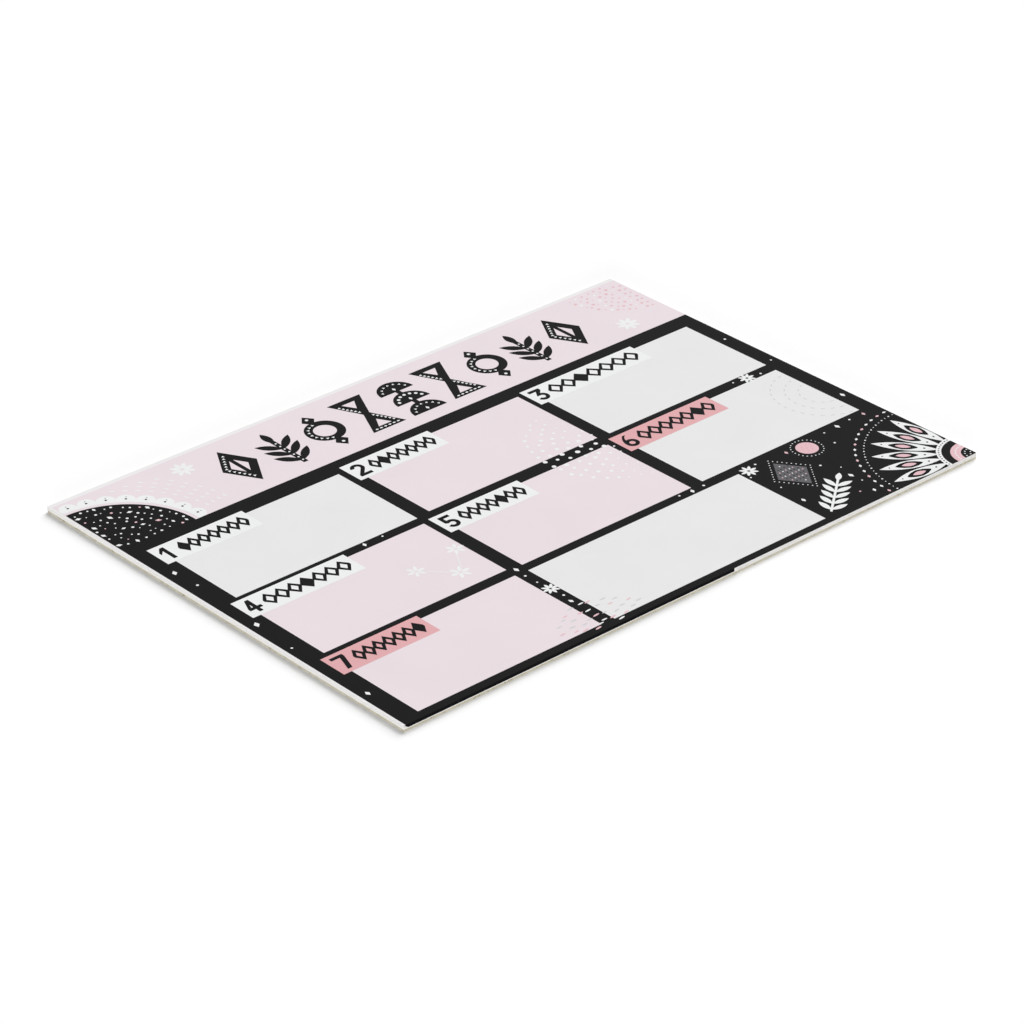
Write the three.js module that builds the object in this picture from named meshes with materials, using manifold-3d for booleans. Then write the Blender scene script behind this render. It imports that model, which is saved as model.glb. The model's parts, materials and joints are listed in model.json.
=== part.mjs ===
// An A3 desk planner: a pad of tear-off sheets glued along its long back edge to a chipboard back.
// Millimetres, +Z up. The header is towards +Y and lines are read along +X.
// The origin is under the middle of the pad, on the surface that it lies on.
import * as THREE from "three";
import { mergeVertices } from "three/addons/utils/BufferGeometryUtils.js";
import Module from "manifold-3d";

const wasm = await Module();
wasm.setup();

// The pad
const sheetWidth = 420;
const sheetDepth = 297;
const blockHeight = 2.4;
const boardThickness = 1.2;
const glueThickness = 0.3;

// Each printed field is a film of this thickness. Fields lie on the sheet, motifs on fields, figures on tabs.
const inkThickness = 0.05;

// The printed area and its header
const unprintedBack = 2.8;
const unprintedLeft = 1.2;
const headerDepth = 62.3;

// The grid of day boxes, on the black frame
const frameLeft = 13.8;
const frameRight = 11.3;
const frameFront = 4.9;
const headerBar = 12;
const columnGap = 9.5;
const rowGap = 7.8;
const columns = 3;
const rows = 3;
const panelWidth = 115.7;

// Each box is set off the grid by a few tenths of this, to the right and to the front
const boxDrift = 1;

// A tab laps over its box's back left corner
const narrowTab = 64.5;
const middleTab = 76.3;
const wideTab = 87.4;
const tabDepth = 19.1;
const tabOverLeft = 5.1;
const tabOverBack = 3.6;

// Figures on the tabs: a plain number, then a chain of seven lozenges that counts the days
const figureStroke = 2.4;
const numberWidth = 8.4;
const numberHeight = 13.4;
const figureInset = 3.2;
const numberGap = 3;
const chainHeight = 12.4;
const chainStroke = 1.6;
const chainNeck = 1.6;
const daysInWeek = 7;

// The row of ornaments in the header
const markRowLeft = 91;
const markRowRight = 54;
const markClear = 10.4;
const markGap = 6.6;
const markStroke = 5.2;
const stemWidth = 3.2;
const leafWidth = 5.2;
const leafPairs = 3;
const leafAngle = 44;
const finialWidth = 9;
const hourglassNeck = 4.4;
const shellTiers = 3;

// The quarter fan in the header's front left corner, and the scallops round it
const fanRadius = 50;
const scallopGap = 2.4;
const scallopBand = 3;
const scallops = 8;

// The quarter rosette in the sheet's front right corner
const coreRadius = 14.5;
const petalStart = 19.5;
const petalBand = 3;
const petalLength = 38;
const petalWidth = 8.8;
const petals = 6;

// The other motifs in the front right panel, each placed from the sheet's right and front edges
const medallionWidth = 22;
const medallionDepth = 30;
const medallionPlace = [93, 52];
const sprigLength = 44;
const sprigWidth = 16;
const sprigStem = 1.4;
const sprigLeaf = 3.6;
const sprigPairs = 5;
const sprigTurn = -52;
const sprigPlace = [108, 8];
const discRadius = 6.6;
const discPlace = [66, 67];

// The days, in reading order. A drift is how far the box is off the grid, in shares of boxDrift.
const days = [
  { column: 0, row: 0, drift: [0.7, 0.9], field: "grey", tab: "white", tabWidth: narrowTab },
  { column: 1, row: 0, drift: [1, -0.8], field: "pink", tab: "white", tabWidth: narrowTab },
  { column: 2, row: 0, drift: [0.3, 0], field: "grey", tab: "white", tabWidth: wideTab },
  { column: 0, row: 1, drift: [-0.5, -0.2], field: "pink", tab: "white", tabWidth: middleTab },
  { column: 1, row: 1, drift: [-0.2, 1.4], field: "pink", tab: "white", tabWidth: narrowTab },
  { column: 2, row: 1, drift: [0, 0.3], field: "grey", tab: "salmon", tabWidth: middleTab },
  { column: 0, row: 2, drift: [-1.1, -0.6], field: "pink", tab: "salmon", tabWidth: narrowTab },
];

const blockTop = boardThickness + blockHeight;
const motifLevel = blockTop + inkThickness;
const figureLevel = motifLevel + inkThickness;
const leftEdge = -sheetWidth / 2;
const rightEdge = sheetWidth / 2;
const backEdge = (sheetDepth - glueThickness) / 2;
const frontEdge = backEdge - sheetDepth;
const printLeft = leftEdge + unprintedLeft;
const printBack = backEdge - unprintedBack;
const headerFront = printBack - headerDepth;
const columnWidth =
  (sheetWidth - unprintedLeft - frameLeft - frameRight - (columns - 1) * columnGap) / columns;
const rowDepth = (headerFront - headerBar - frontEdge - frameFront - (rows - 1) * rowGap) / rows;

const finish = (color, roughness) => new THREE.MeshStandardMaterial({ color, roughness, metalness: 0 });
const materials = {
  paper: finish(0xefedea, 0.85),
  board: finish(0xd9cdb8, 0.9),
  glue: finish(0xe6e4df, 0.4),
  black: finish(0x242424, 0.6),
  pink: finish(0xe9dde1, 0.8),
  grey: finish(0xe6e6e7, 0.8),
  white: finish(0xf0f1f1, 0.8),
  salmon: finish(0xe2adae, 0.8),
  rose: finish(0xe2bcc2, 0.8),
  slate: finish(0x5f5d61, 0.75),
};

const radians = THREE.MathUtils.degToRad;

const planner = new THREE.Group();
planner.name = "desk_planner";

function addPiece(name, geometry, material, x = 0, y = 0, z = 0, turn = 0) {
  const piece = new THREE.Mesh(geometry, materials[material]);
  piece.name = name;
  piece.position.set(x, y, z);
  piece.rotation.z = radians(turn);
  planner.add(piece);
  return piece;
}

// Outlines, drawn flat

function outline(...points) {
  return new THREE.Shape(points.map(([x, y]) => new THREE.Vector2(x, y)));
}

function rectangle(left, right, front, back) {
  return outline([left, front], [right, front], [right, back], [left, back]);
}

function lozenge(width, height, x = 0, y = 0) {
  return outline([x + width / 2, y], [x, y + height / 2], [x - width / 2, y], [x, y - height / 2]);
}

// The lozenge that lies one stroke inside another, all round.
function insetLozenge(width, height, stroke, x = 0, y = 0) {
  const share = 1 - (2 * stroke * Math.hypot(width, height)) / (width * height);
  return lozenge(width * share, height * share, x, y);
}

// A straight stroke with flat ends, from one point to another.
function bar([x1, y1], [x2, y2], width) {
  const length = Math.hypot(x2 - x1, y2 - y1);
  const aside = [(-(y2 - y1) / length) * (width / 2), ((x2 - x1) / length) * (width / 2)];
  return outline(
    [x1 - aside[0], y1 - aside[1]],
    [x2 - aside[0], y2 - aside[1]],
    [x2 + aside[0], y2 + aside[1]],
    [x1 + aside[0], y1 + aside[1]],
  );
}

// A round stroke about a centre, from one angle to a larger one, in degrees.
function band([x, y], radius, width, from, to) {
  const shape = new THREE.Shape();
  shape.absarc(x, y, radius + width / 2, radians(from), radians(to));
  shape.absarc(x, y, radius - width / 2, radians(to), radians(from), true);
  return shape;
}

function disc(x, y, radius) {
  const shape = new THREE.Shape();
  shape.absarc(x, y, radius, 0, 2 * Math.PI);
  return shape;
}

// A quarter of a disc, with its point at the origin.
function quarter(radius, from) {
  const start = radians(from);
  const shape = new THREE.Shape();
  shape.moveTo(0, 0);
  shape.lineTo(radius * Math.cos(start), radius * Math.sin(start));
  shape.absarc(0, 0, radius, start, start + Math.PI / 2);
  return shape;
}

function ring(x, y, radius, width) {
  const shape = disc(x, y, radius + width / 2);
  const hole = new THREE.Path();
  hole.absarc(x, y, radius - width / 2, 0, 2 * Math.PI);
  shape.holes.push(hole);
  return shape;
}

// A leaf with two pointed ends: its base, its length and width, and the way that it points, in degrees.
function leaf([x, y], length, width, turn) {
  const along = radians(turn);
  const at = (u, v) => [
    x + u * Math.cos(along) - v * Math.sin(along),
    y + u * Math.sin(along) + v * Math.cos(along),
  ];
  const shape = new THREE.Shape();
  shape.moveTo(...at(0, 0));
  shape.quadraticCurveTo(...at(length / 2, -width), ...at(length, 0));
  shape.quadraticCurveTo(...at(length / 2, width), ...at(0, 0));
  return shape;
}

// Films, made from outlines

function film(shape, curveSegments = 8) {
  return new THREE.ExtrudeGeometry(shape, { depth: inkThickness, bevelEnabled: false, curveSegments });
}

function solidOf(geometry) {
  const bare = geometry.clone();
  bare.deleteAttribute("normal");
  bare.deleteAttribute("uv");
  const merged = mergeVertices(bare);
  return new wasm.Manifold(
    new wasm.Mesh({
      numProp: 3,
      vertProperties: merged.attributes.position.array,
      triVerts: new Uint32Array(merged.index.array),
    }),
  );
}

// One film from outlines that lap over each other.
function joinedFilm(shapes, curveSegments = 8) {
  const solid = shapes
    .map((shape) => solidOf(film(shape, curveSegments)))
    .reduce((whole, next) => whole.add(next));
  const mesh = solid.getMesh();
  const geometry = new THREE.BufferGeometry();
  geometry.setAttribute("position", new THREE.BufferAttribute(mesh.vertProperties, mesh.numProp));
  geometry.setIndex(new THREE.BufferAttribute(mesh.triVerts, 1));
  geometry.computeVertexNormals();
  return geometry;
}

// Sheets, board and binding
function addPad() {
  const board = new THREE.BoxGeometry(sheetWidth, sheetDepth, boardThickness);
  const block = new THREE.BoxGeometry(sheetWidth, sheetDepth, blockHeight);
  const glue = new THREE.BoxGeometry(sheetWidth, glueThickness, blockTop);
  const sheetMiddle = (backEdge + frontEdge) / 2;
  addPiece("backing_board", board, "board", 0, sheetMiddle, boardThickness / 2);
  addPiece("paper_block", block, "paper", 0, sheetMiddle, boardThickness + blockHeight / 2);
  addPiece("glue_binding", glue, "glue", 0, backEdge + glueThickness / 2, blockTop / 2);
}

function dayBox({ column, row, drift }) {
  const left = printLeft + frameLeft + column * (columnWidth + columnGap) + drift[0] * boxDrift;
  const back = headerFront - headerBar - row * (rowDepth + rowGap) - drift[1] * boxDrift;
  return { left, right: left + columnWidth, front: back - rowDepth, back };
}

// The box for notes runs from the last row's second column to the corner panel.
function notesBox() {
  const { left, front, back } = dayBox({ column: 1, row: rows - 1, drift: [-1.8, 0] });
  return { left, right: rightEdge - panelWidth, front, back };
}

const boxOutline = ({ left, right, front, back }) => rectangle(left, right, front, back);

// The pink header, and the black frame with a window for each box
function addFields() {
  addPiece("print_header", film(rectangle(printLeft, rightEdge, headerFront, printBack)), "pink", 0, 0, blockTop);
  const frame = rectangle(printLeft, rightEdge, frontEdge, headerFront);
  const boxes = [...days.map(dayBox), notesBox()];
  boxes.forEach((box, i) => {
    frame.holes.push(boxOutline(box));
    const colour = i < days.length ? days[i].field : "grey";
    const name = i < days.length ? "print_box_" + (i + 1) : "print_box_notes";
    addPiece(name, film(boxOutline(box)), colour, 0, 0, blockTop);
  });
  addPiece("print_frame", film(frame), "black", 0, 0, blockTop);
}

// A plain number, from 1 to 7, from its lower left corner. The bows of 2, 3, 5 and 6 are as wide as the number.
function numberShape(number) {
  const width = numberWidth;
  const top = numberHeight;
  const stroke = figureStroke;
  const bow = numberWidth / 2;
  const shape = new THREE.Shape();
  const bowOut = (y, from, to, back) => shape.absarc(bow, y, bow, radians(from), radians(to), back);
  const bowIn = (y, from, to, back) => shape.absarc(bow, y, bow - stroke, radians(from), radians(to), back);
  if (number === 1) {
    const left = bow - stroke / 2;
    return outline(
      [left, 0],
      [left + stroke, 0],
      [left + stroke, top],
      [left, top],
      [0, top - bow],
      [0, top - bow - stroke],
      [left, top - stroke * 1.4],
    );
  }
  if (number === 2) {
    shape.moveTo(0, 0);
    shape.lineTo(width, 0);
    shape.lineTo(width, stroke);
    shape.lineTo(stroke * 1.5, stroke);
    bowOut(top - bow, -38, 172);
    bowIn(top - bow, 172, -38, true);
    shape.lineTo(0, stroke * 0.8);
    return shape;
  }
  if (number === 3) {
    shape.moveTo(0, top);
    shape.lineTo(0, top - stroke);
    shape.lineTo(width - stroke * 1.5, top - stroke);
    shape.lineTo(bow - stroke, top - stroke * 2.9);
    shape.lineTo(bow - stroke, 2 * bow - stroke);
    bowIn(bow, 97, -160, true);
    bowOut(bow, -160, 70);
    shape.lineTo(width, top - stroke);
    shape.lineTo(width, top);
    return shape;
  }
  if (number === 4) {
    const post = width - 2 * stroke;
    const shelf = top * 0.24;
    const four = outline(
      [post, 0],
      [post + stroke, 0],
      [post + stroke, shelf],
      [width, shelf],
      [width, shelf + stroke],
      [post + stroke, shelf + stroke],
      [post + stroke, top],
      [post, top],
      [0, shelf + stroke * 0.8],
      [0, shelf],
      [post, shelf],
    );
    four.holes.push(outline([stroke, shelf + stroke], [post, shelf + stroke], [post, top - stroke * 1.9]));
    return four;
  }
  if (number === 5) {
    const left = stroke / 4;
    shape.moveTo(left, top);
    shape.lineTo(left, bow * 1.5);
    shape.lineTo(left + stroke * 0.7, bow * 1.3);
    bowIn(bow, 125, -160, true);
    bowOut(bow, -160, 112);
    shape.lineTo(left + stroke, bow * 1.88);
    shape.lineTo(left + stroke, top - stroke);
    shape.lineTo(width - left, top - stroke);
    shape.lineTo(width - left, top);
    return shape;
  }
  if (number === 6) {
    shape.moveTo(width * 0.84, top);
    shape.lineTo(width * 0.56, top);
    shape.quadraticCurveTo(0, top * 0.66, 0, bow);
    bowOut(bow, 180, 464);
    shape.quadraticCurveTo(width * 0.42, top * 0.82, width * 0.84, top);
    const hole = new THREE.Path();
    hole.absarc(bow, bow, bow - stroke, 0, 2 * Math.PI);
    shape.holes.push(hole);
    return shape;
  }
  return outline(
    [0, top],
    [0, top - stroke],
    [width - stroke * 1.2, top - stroke],
    [bow - stroke, 0],
    [bow + stroke * 0.2, 0],
    [width, top - stroke],
    [width, top],
  );
}

// Seven lozenges in a chain, joined at their necks. The day's own one is solid, and the others have windows.
function chainShape(number, length) {
  const pitch = length / daysInWeek;
  const side = (way) =>
    Array.from({ length: daysInWeek }, (_, i) => [
      [i * pitch, (way * chainNeck) / 2],
      [(i + 0.5) * pitch, (way * chainHeight) / 2],
      [(i + 1) * pitch, (way * chainNeck) / 2],
    ]).flatMap((points, i) => (i ? points.slice(1) : points));
  const shape = outline(...side(-1), ...side(1).reverse());
  for (let i = 0; i < daysInWeek; i++)
    if (i + 1 !== number) shape.holes.push(insetLozenge(pitch, chainHeight, chainStroke, (i + 0.5) * pitch));
  return shape;
}

function addTabs() {
  days.forEach((day, i) => {
    const box = dayBox(day);
    const left = box.left - tabOverLeft;
    const back = box.back + tabOverBack;
    const middle = back - tabDepth / 2;
    const tab = rectangle(left, left + day.tabWidth, back - tabDepth, back);
    const numberLeft = left + figureInset;
    const chainLeft = numberLeft + numberWidth + numberGap;
    const chainLength = left + day.tabWidth - figureInset - chainLeft;
    const number = film(numberShape(i + 1), 10);
    const chain = film(chainShape(i + 1, chainLength));
    addPiece("print_tab_" + (i + 1), film(tab), day.tab, 0, 0, motifLevel);
    addPiece("print_number_" + (i + 1), number, "black", numberLeft, middle - numberHeight / 2, figureLevel);
    addPiece("print_chain_" + (i + 1), chain, "black", chainLeft, middle, figureLevel);
  });
}

// A stem with pairs of leaves and one more at its tip, standing on its lower end.
function sprigShapes(length, width, stem, leafAcross, pairs, lower = 0) {
  const leafLength = width / 2 / Math.cos(radians(leafAngle));
  const tipLeaf = leafLength * 0.8;
  const step = (length - tipLeaf) / (pairs + 0.3);
  const shapes = [
    bar([0, lower], [0, lower + length - tipLeaf / 2], stem),
    leaf([0, lower + length - tipLeaf], tipLeaf, leafAcross, 90),
  ];
  for (let i = 0; i < pairs; i++) {
    const y = lower + (i + 0.3) * step;
    shapes.push(leaf([0, y], leafLength, leafAcross, leafAngle));
    shapes.push(leaf([0, y], leafLength, leafAcross, 180 - leafAngle));
  }
  return shapes;
}

// The header's ornaments, each drawn about its own middle.
const markKinds = {
  lozenge: (width, height) => {
    const shape = lozenge(width, height);
    const window = insetLozenge(width, height, markStroke).getPoints();
    const [right, top] = [window[0].x, window[1].y];
    const spine = markStroke / 4;
    const cut = top * (1 - spine / right);
    shape.holes.push(outline([spine, cut], [right, 0], [spine, -cut]));
    shape.holes.push(outline([-spine, cut], [-right, 0], [-spine, -cut]));
    return film(shape);
  },
  sprig: (width, height) =>
    joinedFilm(sprigShapes(height, width, stemWidth, leafWidth, leafPairs, -height / 2), 6),
  medallion: (width, height) => {
    const ringRadius = width / 2 - markStroke / 2;
    const finialHeight = height / 2 - ringRadius;
    const finialMiddle = ringRadius + finialHeight / 2;
    const shapes = [
      ring(0, 0, ringRadius, markStroke),
      lozenge(finialWidth, finialHeight, 0, finialMiddle),
      lozenge(finialWidth, finialHeight, 0, -finialMiddle),
    ];
    return joinedFilm(shapes, 24);
  },
  hourglass: (width, height) => {
    const shape = outline(
      [-width / 2, -height / 2],
      [width / 2, -height / 2],
      [hourglassNeck / 2, 0],
      [width / 2, height / 2],
      [-width / 2, height / 2],
      [-hourglassNeck / 2, 0],
    );
    const side = Math.hypot(width / 2, height / 2);
    const inner = (width * height) / 2 / (width + 2 * side);
    const share = 1 - (markStroke * 0.8) / inner;
    for (const way of [1, -1]) {
      const centre = way * (height / 2 - inner);
      const hole = outline(
        [(-width / 2) * share, centre + way * inner * share],
        [(width / 2) * share, centre + way * inner * share],
        [0, centre - way * (height / 2 - inner) * share],
      );
      shape.holes.push(hole);
    }
    return film(shape);
  },
  shell: (width, height) => {
    const radius = width / 2;
    const step = (height - radius) / (shellTiers - 1);
    const meet = Math.acos(stemWidth / width);
    const shape = new THREE.Shape();
    for (let i = 0; i < shellTiers; i++) {
      const last = i === shellTiers - 1;
      shape.absarc(0, i * step - height / 2, radius, 0, last ? Math.PI : meet);
      if (!last) shape.lineTo(stemWidth / 2, (i + 1) * step - height / 2);
    }
    for (let i = shellTiers - 2; i >= 0; i--) {
      shape.lineTo(-stemWidth / 2, (i + 1) * step - height / 2);
      shape.absarc(0, i * step - height / 2, radius, Math.PI - meet, Math.PI);
    }
    return film(shape, 10);
  },
};

const markOrder = [
  "lozenge", "sprig", "medallion", "hourglass", "shell", "hourglass", "medallion", "sprig", "lozenge",
];

function addHeaderMarks() {
  const pitch = (sheetWidth - markRowLeft - markRowRight) / markOrder.length;
  const width = pitch - markGap;
  const height = headerDepth - 2 * markClear;
  const middle = (printBack + headerFront) / 2;
  markOrder.forEach((kind, i) => {
    const x = leftEdge + markRowLeft + (i + 0.5) * pitch;
    const mark = markKinds[kind](width, height);
    addPiece("print_mark_" + (i + 1) + "_" + kind, mark, "black", x, middle, motifLevel);
  });
}

function addHeaderFan() {
  addPiece("print_fan", film(quarter(fanRadius, 0), 20), "black", printLeft, headerFront, motifLevel);
  const inner = fanRadius + scallopGap;
  const reach = inner + scallopBand;
  const halfStep = Math.PI / 4 / scallops;
  const scallopRadius = reach * Math.sin(halfStep);
  const edge = new THREE.Shape();
  edge.absarc(0, 0, inner, Math.PI / 2, 0, true);
  for (let i = 0; i < scallops; i++) {
    const turn = (2 * i + 1) * halfStep;
    const middle = reach * Math.cos(halfStep);
    const [x, y] = [middle * Math.cos(turn), middle * Math.sin(turn)];
    edge.absarc(x, y, scallopRadius, turn - Math.PI / 2, turn + Math.PI / 2);
  }
  addPiece("print_scallops", film(edge, 12), "white", printLeft, headerFront, motifLevel);
}

function addPanelMotifs() {
  addPiece("print_rosette_core", film(quarter(coreRadius, 90), 14), "rose", rightEdge, frontEdge, motifLevel);
  const shapes = [band([0, 0], petalStart + petalBand / 2, petalBand, 90, 180)];
  for (let i = 0; i < petals; i++) {
    const turn = 90 + ((i + 0.5) / petals) * 90;
    const at = radians(turn);
    const base = petalStart + petalBand / 2;
    shapes.push(leaf([base * Math.cos(at), base * Math.sin(at)], petalLength, petalWidth, turn));
  }
  addPiece("print_rosette_petals", joinedFilm(shapes, 10), "white", rightEdge, frontEdge, motifLevel);
  const place = ([fromRight, fromFront]) => [rightEdge - fromRight, frontEdge + fromFront];
  const medallion = film(lozenge(medallionWidth, medallionDepth));
  addPiece("print_panel_lozenge", medallion, "slate", ...place(medallionPlace), motifLevel);
  const sprig = joinedFilm(sprigShapes(sprigLength, sprigWidth, sprigStem, sprigLeaf, sprigPairs), 6);
  addPiece("print_panel_sprig", sprig, "white", ...place(sprigPlace), motifLevel, sprigTurn);
  addPiece("print_panel_disc", film(disc(0, 0, discRadius), 24), "rose", ...place(discPlace), motifLevel);
}

addPad();
addFields();
addTabs();
addHeaderMarks();
addHeaderFan();
addPanelMotifs();

export default planner;
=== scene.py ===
# %% [markdown]
# # A desk planner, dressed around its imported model
#
# The planner is a pad of 24 large sheets, glued along the long back edge to a chipboard back and
# printed on top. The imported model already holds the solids: the block of sheets, the board, the
# glue and one thin film for each printed field. This lesson gives each of them its finish, models
# the cut edges that the plain solids leave out, and prints the small ornaments.
#
# Lengths in this file are in metres unless a name says otherwise. The layout of the print is given
# in millimetres on the page, from the sheet's back left corner to the right and to the front.

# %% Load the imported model
import json
import math
import random

import bpy
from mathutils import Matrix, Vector


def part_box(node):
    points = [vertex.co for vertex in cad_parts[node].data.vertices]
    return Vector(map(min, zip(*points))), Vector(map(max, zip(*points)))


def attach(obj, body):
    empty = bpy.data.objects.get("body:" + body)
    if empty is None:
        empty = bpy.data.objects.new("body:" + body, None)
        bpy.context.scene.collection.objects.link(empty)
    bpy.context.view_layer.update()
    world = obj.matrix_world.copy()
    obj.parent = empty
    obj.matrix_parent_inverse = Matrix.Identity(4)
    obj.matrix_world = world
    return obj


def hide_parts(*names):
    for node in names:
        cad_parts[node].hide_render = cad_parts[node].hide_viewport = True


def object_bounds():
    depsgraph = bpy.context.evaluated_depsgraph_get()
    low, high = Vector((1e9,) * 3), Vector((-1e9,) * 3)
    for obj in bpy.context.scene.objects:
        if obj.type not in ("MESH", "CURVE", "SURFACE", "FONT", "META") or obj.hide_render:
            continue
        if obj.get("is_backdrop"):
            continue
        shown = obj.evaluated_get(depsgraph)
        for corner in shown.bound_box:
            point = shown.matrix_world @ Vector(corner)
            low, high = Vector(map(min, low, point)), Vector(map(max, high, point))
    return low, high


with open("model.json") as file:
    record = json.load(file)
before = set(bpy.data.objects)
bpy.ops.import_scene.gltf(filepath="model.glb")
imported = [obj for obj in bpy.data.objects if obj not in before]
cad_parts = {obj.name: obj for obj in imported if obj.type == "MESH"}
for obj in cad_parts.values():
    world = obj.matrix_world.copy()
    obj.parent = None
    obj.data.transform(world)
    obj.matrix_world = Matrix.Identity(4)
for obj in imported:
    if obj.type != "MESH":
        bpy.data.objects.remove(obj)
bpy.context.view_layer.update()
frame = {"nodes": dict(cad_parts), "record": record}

record = frame["record"]
MM = 0.001
dice = random.Random(7)

# %% [markdown]
# ## Camera
#
# The camera stands to the left of the front edge and looks down at about 29 degrees. A long lens
# keeps the far corner almost as large as the near one, which is how product pictures are taken.

# %% Place the camera
CAMERA_AZIMUTH = math.radians(-42.06)
CAMERA_ELEVATION = math.radians(29.48)
CAMERA_DISTANCE = 2.095
CAMERA_LENS = 135.5
LOOK_AT = Vector((-0.0225, -0.0204, 0.0))

towards_camera = Vector((
    math.sin(CAMERA_AZIMUTH) * math.cos(CAMERA_ELEVATION),
    -math.cos(CAMERA_AZIMUTH) * math.cos(CAMERA_ELEVATION),
    math.sin(CAMERA_ELEVATION),
))
bpy.ops.object.camera_add(location=LOOK_AT + towards_camera * CAMERA_DISTANCE)
camera = bpy.context.object
camera.name = "camera"
camera.rotation_mode = "QUATERNION"
camera.rotation_quaternion = (-towards_camera).to_track_quat("-Z", "Y")
camera.data.lens = CAMERA_LENS
camera.data.sensor_width = 36.0
camera.data.clip_start = 0.05
camera.data.clip_end = 50.0
bpy.context.scene.camera = camera
print("camera at", [round(v, 3) for v in camera.location])

# %% [markdown]
# ## Light and floor
#
# The pad lies on white paper under a wide, soft light from behind on the right, so a soft shadow
# shows along the two front edges. A low lamp at the front lights the cut sides without washing that
# shadow away. The levels of the sky and the two lamps are what each gives a level surface, and they
# add up to about one, at which a colour renders about as it is written.

# %% Sky, lamps and floor
SKY_LEVEL = 0.28
BACK_LEVEL = 0.69
BACK_DIRECTION = Vector((0.76, 0.32, 0.64)).normalized()
BACK_WIDTH = math.radians(50)
FRONT_LEVEL = 0.04
FRONT_DIRECTION = Vector((-0.72, -0.69, 0.10)).normalized()
FRONT_WIDTH = math.radians(8)
FLOOR_SIZE = 16.0


def sky_world():
    """White for the camera and in reflections, and dimmer for what it lights."""
    world = bpy.data.worlds.new("sky")
    world.use_nodes = True
    nodes = world.node_tree.nodes
    links = world.node_tree.links
    nodes.clear()
    output = nodes.new("ShaderNodeOutputWorld")
    mix = nodes.new("ShaderNodeMixShader")
    light = nodes.new("ShaderNodeBackground")
    seen = nodes.new("ShaderNodeBackground")
    path = nodes.new("ShaderNodeLightPath")
    either = nodes.new("ShaderNodeMath")
    either.operation = "MAXIMUM"
    light.inputs["Strength"].default_value = SKY_LEVEL
    seen.inputs["Strength"].default_value = 1.0
    for background in (light, seen):
        background.inputs["Color"].default_value = (1, 1, 1, 1)
    links.new(path.outputs["Is Camera Ray"], either.inputs[0])
    links.new(path.outputs["Is Glossy Ray"], either.inputs[1])
    links.new(either.outputs[0], mix.inputs[0])
    links.new(light.outputs[0], mix.inputs[1])
    links.new(seen.outputs[0], mix.inputs[2])
    links.new(mix.outputs[0], output.inputs["Surface"])
    return world


bpy.context.scene.world = sky_world()
bpy.context.scene.view_settings.view_transform = "Standard"


def soft_lamp(name, direction, level, width):
    """A wide lamp far away, which gives a level surface the light of its level."""
    bpy.ops.object.light_add(type="SUN", location=direction)
    lamp = bpy.context.object
    lamp.name = name
    lamp.rotation_mode = "QUATERNION"
    lamp.rotation_quaternion = direction.to_track_quat("Z", "Y")
    lamp.data.angle = width
    lamp.data.energy = level * math.pi / direction.z


soft_lamp("back_lamp", BACK_DIRECTION, BACK_LEVEL, BACK_WIDTH)
soft_lamp("front_lamp", FRONT_DIRECTION, FRONT_LEVEL, FRONT_WIDTH)

bpy.ops.mesh.primitive_plane_add(size=FLOOR_SIZE, location=(0, 0, 0))
floor = bpy.context.object
floor.name = "floor"


def floor_finish():
    """White paper for the camera. The pad's sides see it as white paper out of the pad's shadow."""
    material = bpy.data.materials.new("floor_paper")
    material.use_nodes = True
    nodes = material.node_tree.nodes
    links = material.node_tree.links
    nodes.clear()
    output = nodes.new("ShaderNodeOutputMaterial")
    mix = nodes.new("ShaderNodeMixShader")
    bounce = nodes.new("ShaderNodeEmission")
    seen = nodes.new("ShaderNodeBsdfDiffuse")
    path = nodes.new("ShaderNodeLightPath")
    bounce.inputs["Strength"].default_value = 1.0
    seen.inputs["Color"].default_value = (1, 1, 1, 1)
    links.new(path.outputs["Is Camera Ray"], mix.inputs[0])
    links.new(bounce.outputs[0], mix.inputs[1])
    links.new(seen.outputs[0], mix.inputs[2])
    links.new(mix.outputs[0], output.inputs["Surface"])
    return material


floor.data.materials.append(floor_finish())
floor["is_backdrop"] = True

# %% [markdown]
# ## Finishes
#
# Everything here is paper, board, ink or glue, so every finish is matte. What tells them apart is
# small: ink lies unevenly in the fibres, a cut stack of sheets is striped, and chipboard is full of
# flecks. Colours are written as screen values from 0 to 255 and turned into the linear values that
# the shader wants.

# %% Helpers for the finishes


def linear(*screen):
    """A screen colour, 0 to 255, as linear values with alpha."""
    shares = [v / 255 for v in screen]
    return tuple(s / 12.92 if s <= 0.04045 else ((s + 0.055) / 1.055) ** 2.4 for s in shares) + (1.0,)


def shaded(colour, factor):
    """A linear colour made lighter or darker."""
    return tuple(min(1.0, v * factor) for v in colour[:3]) + (1.0,)


def new_finish(name, roughness, specular):
    """A material with its node tree, its shader and a node for Object coordinates."""
    material = bpy.data.materials.new(name)
    material.use_nodes = True
    tree = material.node_tree
    shader = tree.nodes["Principled BSDF"]
    shader.inputs["Roughness"].default_value = roughness
    shader.inputs["Specular IOR Level"].default_value = specular
    place = tree.nodes.new("ShaderNodeTexCoord")
    return material, tree, shader, place


def noise(tree, place, scale, detail=3.0, stretch=(1, 1, 1)):
    """A noise pattern on Object coordinates, with its scale per metre and a stretch for each axis."""
    mapping = tree.nodes.new("ShaderNodeMapping")
    mapping.inputs["Scale"].default_value = stretch
    texture = tree.nodes.new("ShaderNodeTexNoise")
    texture.inputs["Scale"].default_value = scale
    texture.inputs["Detail"].default_value = detail
    tree.links.new(place.outputs["Object"], mapping.inputs["Vector"])
    tree.links.new(mapping.outputs["Vector"], texture.inputs["Vector"])
    return texture


def ramp(tree, source, stops):
    """Turns a pattern into colours, by (position, colour) stops."""
    node = tree.nodes.new("ShaderNodeValToRGB")
    band = node.color_ramp
    while len(band.elements) < len(stops):
        band.elements.new(0.5)
    for element, (position, colour) in zip(band.elements, stops):
        element.position = position
        element.color = colour
    tree.links.new(source.outputs[0], node.inputs["Fac"])
    return node


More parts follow.
